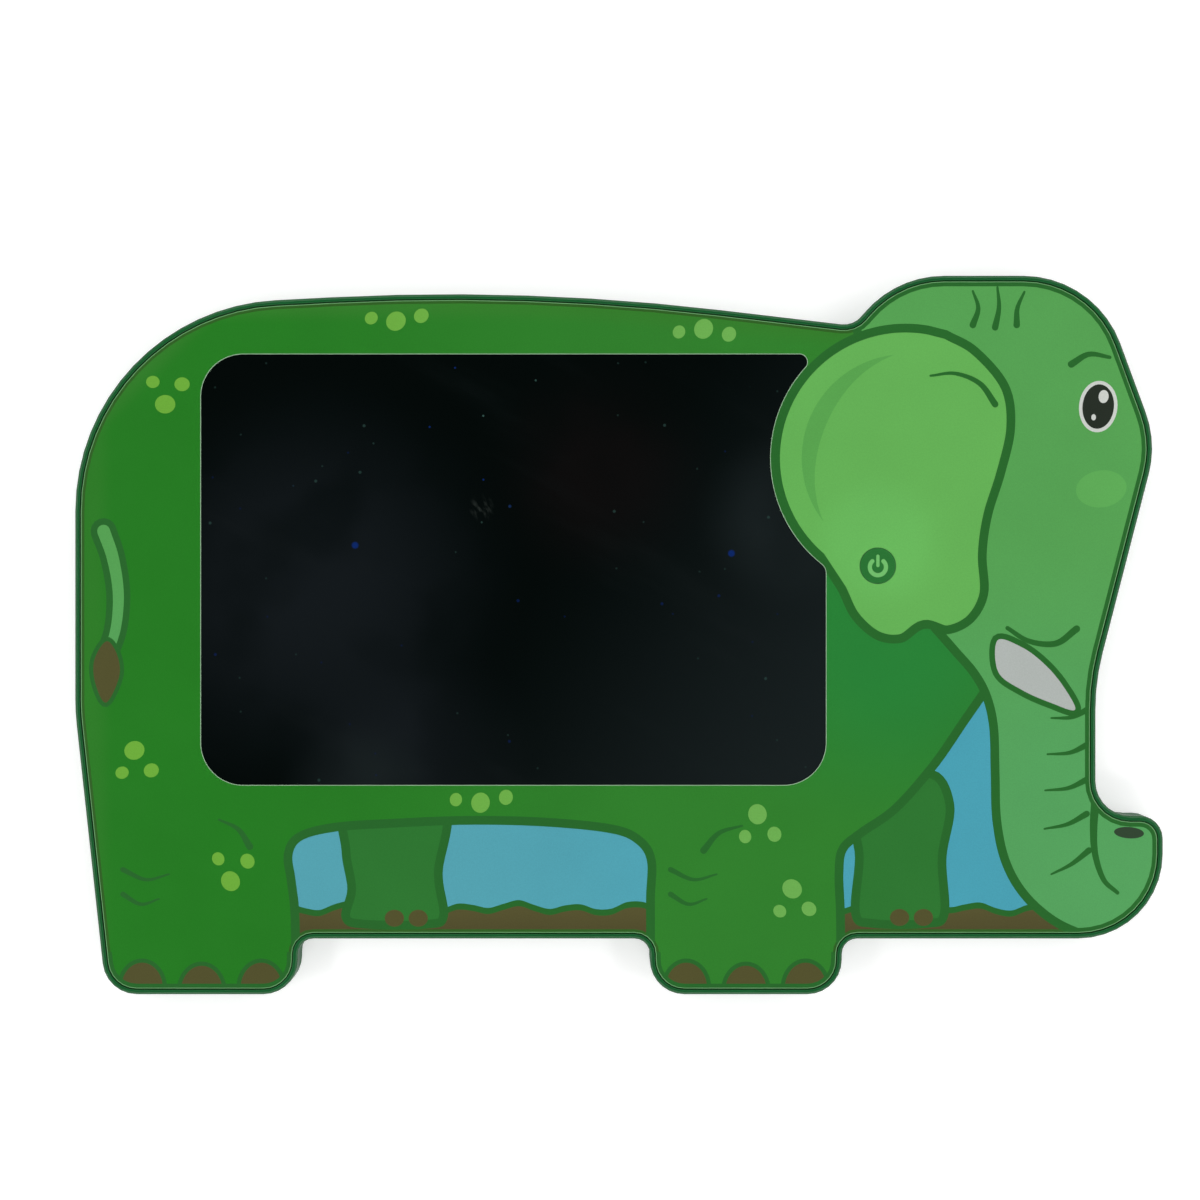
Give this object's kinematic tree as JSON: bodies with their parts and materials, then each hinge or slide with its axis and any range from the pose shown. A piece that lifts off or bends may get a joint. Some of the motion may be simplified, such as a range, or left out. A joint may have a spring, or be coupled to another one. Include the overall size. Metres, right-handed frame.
{
  "type": "drawing tablet",
  "caption": "Children's writing tablet shaped like a plain toy elephant, with a dark writing screen, an erase button, a lock slider, a battery door and a stylus in its back.",
  "frame": {"origin": "centre of the outline's bounding box, on the rear face that the tablet lies on", "axes": "+X to the elephant's head along the length, +Y to its back, +Z out of the screen"},
  "size_m": [0.283, 0.187, 0.01],
  "materials": {
    "shell_green": "moulded green plastic with a fine grain",
    "print": "satin printed film in greens with light blue and brown",
    "button_green": "satin moulded plastic with a printed power sign",
    "screen_black": "glossy dark writing film",
    "backing_black": "matt black",
    "pad_grey": "matt foam tape",
    "flex_amber": "amber flexible circuit",
    "board_green": "green solder mask",
    "chip_black": "matt black",
    "ceramic": "tan ceramic",
    "steel": "bright zinc-plated steel",
    "cell_steel": "nickel-plated steel",
    "wire_red": "red insulation",
    "wire_black": "black insulation",
    "stylus_green": "glossy light green plastic",
    "nib_grey": "matt dark grey plastic"
  },
  "bodies": {
    "tablet": {"front_housing": "shell_green", "rear_cover": "shell_green", "printed_face": "print", "writing_sheet": "screen_black", "black_backing_sheet": "backing_black", "adhesive_pad": "pad_grey", "screen_flex_tail": "flex_amber", "switch_body": "chip_black", "switch_dome": "steel", "circuit_board": "board_green", "controller_chip": "chip_black", "boost_coil": "chip_black", "chip_capacitor_1": "ceramic", "chip_capacitor_2": "ceramic", "chip_capacitor_3": "ceramic", "board_screw_1": "steel", "board_screw_2": "steel", "board_screw_3": "steel", "lock_switch_body": "steel", "coin_cell": "cell_steel", "battery_contact_positive": "steel", "battery_contact_negative": "steel", "battery_wire_positive": "wire_red", "battery_wire_negative": "wire_black", "cover_screw_1": "steel", "cover_screw_2": "steel", "cover_screw_3": "steel", "cover_screw_4": "steel", "cover_screw_5": "steel", "cover_screw_6": "steel", "cover_screw_7": "steel", "cover_screw_8": "steel"},
    "erase_button": {"erase_button_cap": "button_green", "erase_button_plunger": "shell_green", "switch_stem": "chip_black"},
    "lock_slider": {"lock_knob": "nib_grey", "lock_switch_lever": "steel"},
    "battery_door": {"battery_door": "shell_green", "battery_door_screw_1": "steel"},
    "stylus": {"stylus_barrel": "stylus_green", "stylus_end_plug": "nib_grey", "stylus_tip": "nib_grey"}
  },
  "joints": [
    {"name": "erase_press", "type": "slide", "parent": "tablet", "child": "erase_button", "axis": [0, 0, -1], "range_m": [0, 0.0003], "stiffness_N_per_m": 1500},
    {"name": "lock_slide", "type": "slide", "parent": "tablet", "child": "lock_slider", "axis": [0, 1, 0], "range_m": [0, 0.0025]},
    {"name": "door_swing", "type": "hinge", "parent": "tablet", "child": "battery_door", "pos_m": [0.11703, 0.055, 0.0002], "axis": [0, -1, 0], "range_deg": [0, 60]},
    {"name": "stylus_pull", "type": "slide", "parent": "tablet", "child": "stylus", "axis": [-1, 0, 0], "range_m": [0, 0.13]}
  ]
}
